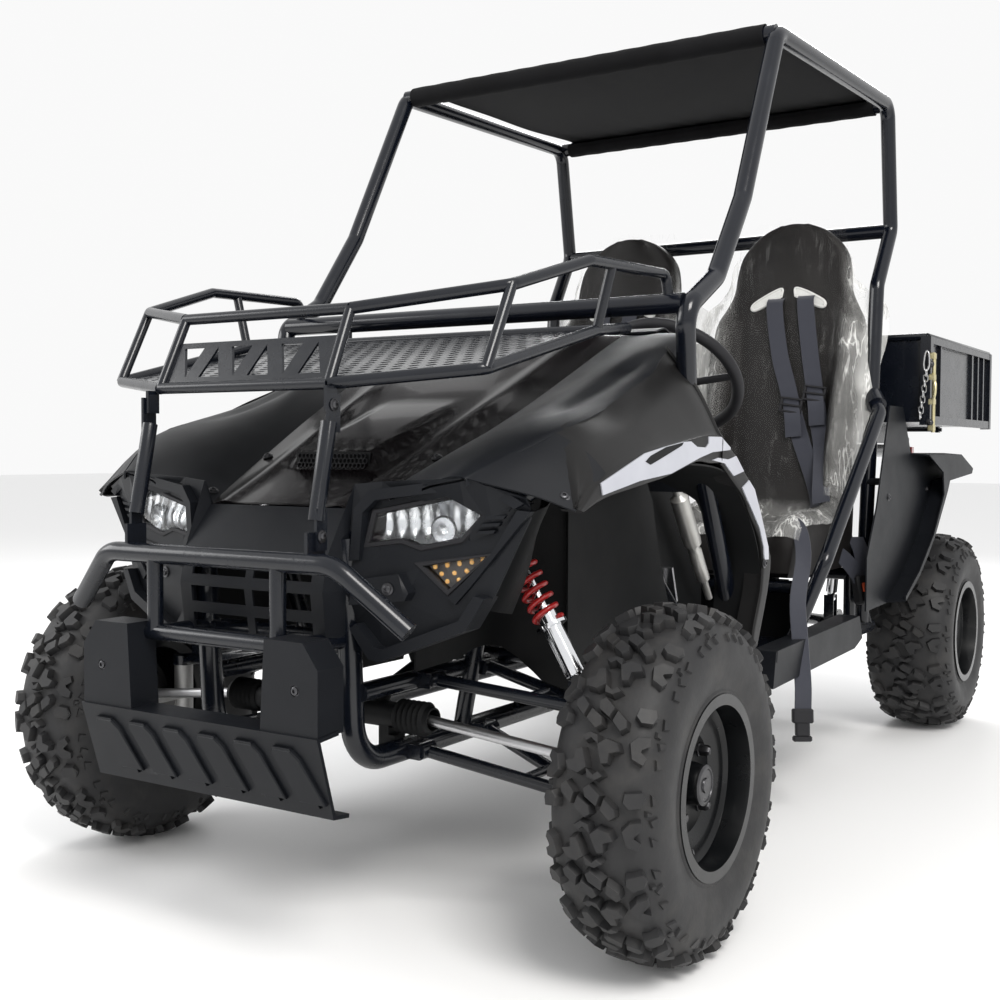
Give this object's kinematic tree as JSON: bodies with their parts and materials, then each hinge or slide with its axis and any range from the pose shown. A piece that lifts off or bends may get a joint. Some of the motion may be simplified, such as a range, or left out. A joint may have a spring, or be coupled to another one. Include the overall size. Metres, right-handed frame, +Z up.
{
  "type": "side by side utility vehicle",
  "caption": "Two-seat off-road utility vehicle with a tube roll cage, cloth roof, front rack, bull bar, knobbly tyres, coil-over shocks and a tipping cargo bed.",
  "frame": {"origin": "on the ground under the middle of the vehicle's length and width", "axes": "+X to the vehicle's left, +Y to its rear, +Z up"},
  "size_m": [1.33, 2.802, 1.6694],
  "materials": {
    "frame_satin": "satin",
    "cage_satin": "satin",
    "canopy_cloth": "matt",
    "hood_gloss": "gloss",
    "body_plastic": "satin",
    "liner_plastic": "matt",
    "lamp_reflector": "polished",
    "clear_lens": "clear",
    "amber_lens": "gloss",
    "red_lens": "gloss",
    "tyre_rubber": "matt",
    "rim_black": "gloss",
    "seat_vinyl": "satin",
    "webbing": "matt",
    "grip_plastic": "satin",
    "bare_steel": "brushed",
    "arm_satin": "satin",
    "shock_chrome": "polished",
    "spring_red": "gloss",
    "cast_alloy": "cast",
    "exhaust_steel": "brushed",
    "zinc_yellow": "zinc plated"
  },
  "bodies": {
    "chassis": {"main_frame": "frame_satin", "cage_left": "cage_satin", "cage_right": "cage_satin", "cage_crossbars": "cage_satin", "roof_canopy": "canopy_cloth", "hood_panel": "hood_gloss", "hood": "body_plastic", "front_fascia": "body_plastic", "headlamps": "lamp_reflector", "headlamp_lenses": "clear_lens", "turn_signals": "amber_lens", "front_fenders": "body_plastic", "wheel_well_liners": "liner_plastic", "dash_panel": "body_plastic", "floor_pan": "frame_satin", "sill_panels": "body_plastic", "quarter_panels": "body_plastic", "bull_bar": "frame_satin", "bumper_guard": "frame_satin", "cargo_rack": "frame_satin", "rack_floor": "frame_satin", "rack_struts": "frame_satin", "seat_left": "seat_vinyl", "seat_right": "seat_vinyl", "harness_straps": "webbing", "rack_housing": "cast_alloy", "control_arms": "arm_satin", "shock_absorbers": "shock_chrome", "coil_springs": "spring_red", "swing_arm": "arm_satin", "drive_chain": "bare_steel", "engine": "cast_alloy", "exhaust": "exhaust_steel", "tail_lamps": "red_lens", "tilt_strut": "shock_chrome", "pedals": "bare_steel", "shift_lever": "grip_plastic"},
    "steering": {"steering_wheel": "grip_plastic", "steering_shaft": "bare_steel"},
    "lower_column": {"lower_shaft": "arm_satin"},
    "rack": {"steering_rack": "bare_steel"},
    "left_knuckle": {"knuckle_left": "cast_alloy"},
    "right_knuckle": {"knuckle_right": "cast_alloy"},
    "left_front_wheel": {"front_tyre_left": "tyre_rubber", "front_rim_left": "rim_black"},
    "right_front_wheel": {"front_tyre_right": "tyre_rubber", "front_rim_right": "rim_black"},
    "rear_wheelset": {"rear_axle": "bare_steel", "rear_rims": "rim_black", "rear_tyres": "tyre_rubber"},
    "bed": {"bed_tub": "frame_satin", "bed_latches": "zinc_yellow"},
    "tailgate": {"tailgate": "frame_satin"}
  },
  "joints": [
    {"name": "steering_wheel_turn", "type": "hinge", "parent": "chassis", "child": "steering", "pos_m": [0.225, -0.224, 0.932], "axis": [0, 0.7083, 0.7059], "range_deg": [-270, 270]},
    {"name": "lower_column_turn", "type": "hinge", "parent": "chassis", "child": "lower_column", "pos_m": [0.225, -0.517, 0.64], "axis": [0.2006, 0.8826, 0.4252], "range_deg": [-270, 270]},
    {"name": "steering_rack_slide", "type": "slide", "parent": "chassis", "child": "rack", "axis": [1, 0, 0], "range_m": [-0.041, 0.041]},
    {"name": "left_knuckle_steer", "type": "hinge", "parent": "chassis", "child": "left_knuckle", "pos_m": [0.47, -0.969, 0.285], "axis": [0, 0, 1], "range_deg": [-25.5, 25.5]},
    {"name": "right_knuckle_steer", "type": "hinge", "parent": "chassis", "child": "right_knuckle", "pos_m": [-0.47, -0.969, 0.285], "axis": [0, 0, 1], "range_deg": [-25.5, 25.5]},
    {"name": "left_front_wheel_spin", "type": "hinge", "parent": "left_knuckle", "child": "left_front_wheel", "pos_m": [0.579, -0.969, 0.27176], "axis": [1, 0, 0], "continuous": true},
    {"name": "right_front_wheel_spin", "type": "hinge", "parent": "right_knuckle", "child": "right_front_wheel", "pos_m": [-0.579, -0.969, 0.27176], "axis": [1, 0, 0], "continuous": true},
    {"name": "rear_wheelset_spin", "type": "hinge", "parent": "chassis", "child": "rear_wheelset", "pos_m": [0, 0.975, 0.27176], "axis": [1, 0, 0], "continuous": true},
    {"name": "bed_tip", "type": "hinge", "parent": "chassis", "child": "bed", "pos_m": [0, 1.293, 0.812], "axis": [-1, 0, 0], "range_deg": [0, 45]},
    {"name": "tailgate_swing", "type": "hinge", "parent": "bed", "child": "tailgate", "pos_m": [0, 1.367, 0.844], "axis": [-1, 0, 0], "range_deg": [0, 90]}
  ],
  "couplings": [
    {"joint": "lower_column_turn", "follows": "steering_wheel_turn", "ratio": 1},
    {"joint": "steering_rack_slide", "follows": "steering_wheel_turn", "m_per_rad": 0.00849},
    {"joint": "left_knuckle_steer", "follows": "steering_wheel_turn", "ratio": 0.0926},
    {"joint": "right_knuckle_steer", "follows": "steering_wheel_turn", "ratio": 0.0926}
  ]
}
